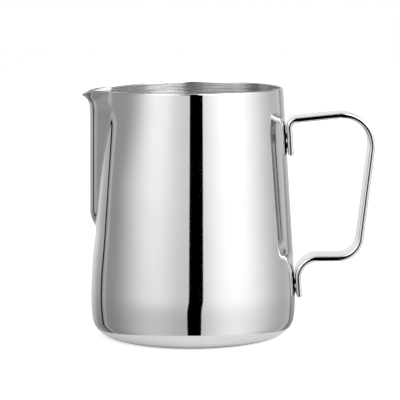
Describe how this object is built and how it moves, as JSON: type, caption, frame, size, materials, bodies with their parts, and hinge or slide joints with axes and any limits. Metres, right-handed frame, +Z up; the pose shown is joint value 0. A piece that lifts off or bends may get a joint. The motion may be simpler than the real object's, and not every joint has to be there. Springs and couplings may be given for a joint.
{
  "type": "milk frothing pitcher",
  "caption": "Tapered stainless steel milk frothing pitcher with a pressed pointed spout, rounded belly, flat base and a bent flat-strap handle welded to the wall.",
  "frame": {"origin": "on the body's axis, in the plane of the flat base it stands on", "axes": "+Z up along the body's axis, +X towards the handle, -X towards the spout"},
  "size_m": [0.1274, 0.09, 0.1083],
  "materials": {
    "body_steel": "stainless steel, mirror polished outside and brushed round the inside",
    "strap_steel": "stainless steel, polished",
    "weld_steel": "bare weld metal"
  },
  "bodies": {
    "root": {"pitcher_body": "body_steel", "handle_strap": "strap_steel", "upper_weld_high": "weld_steel", "upper_weld_low": "weld_steel", "lower_weld_high": "weld_steel", "lower_weld_low": "weld_steel"}
  },
  "joints": []
}
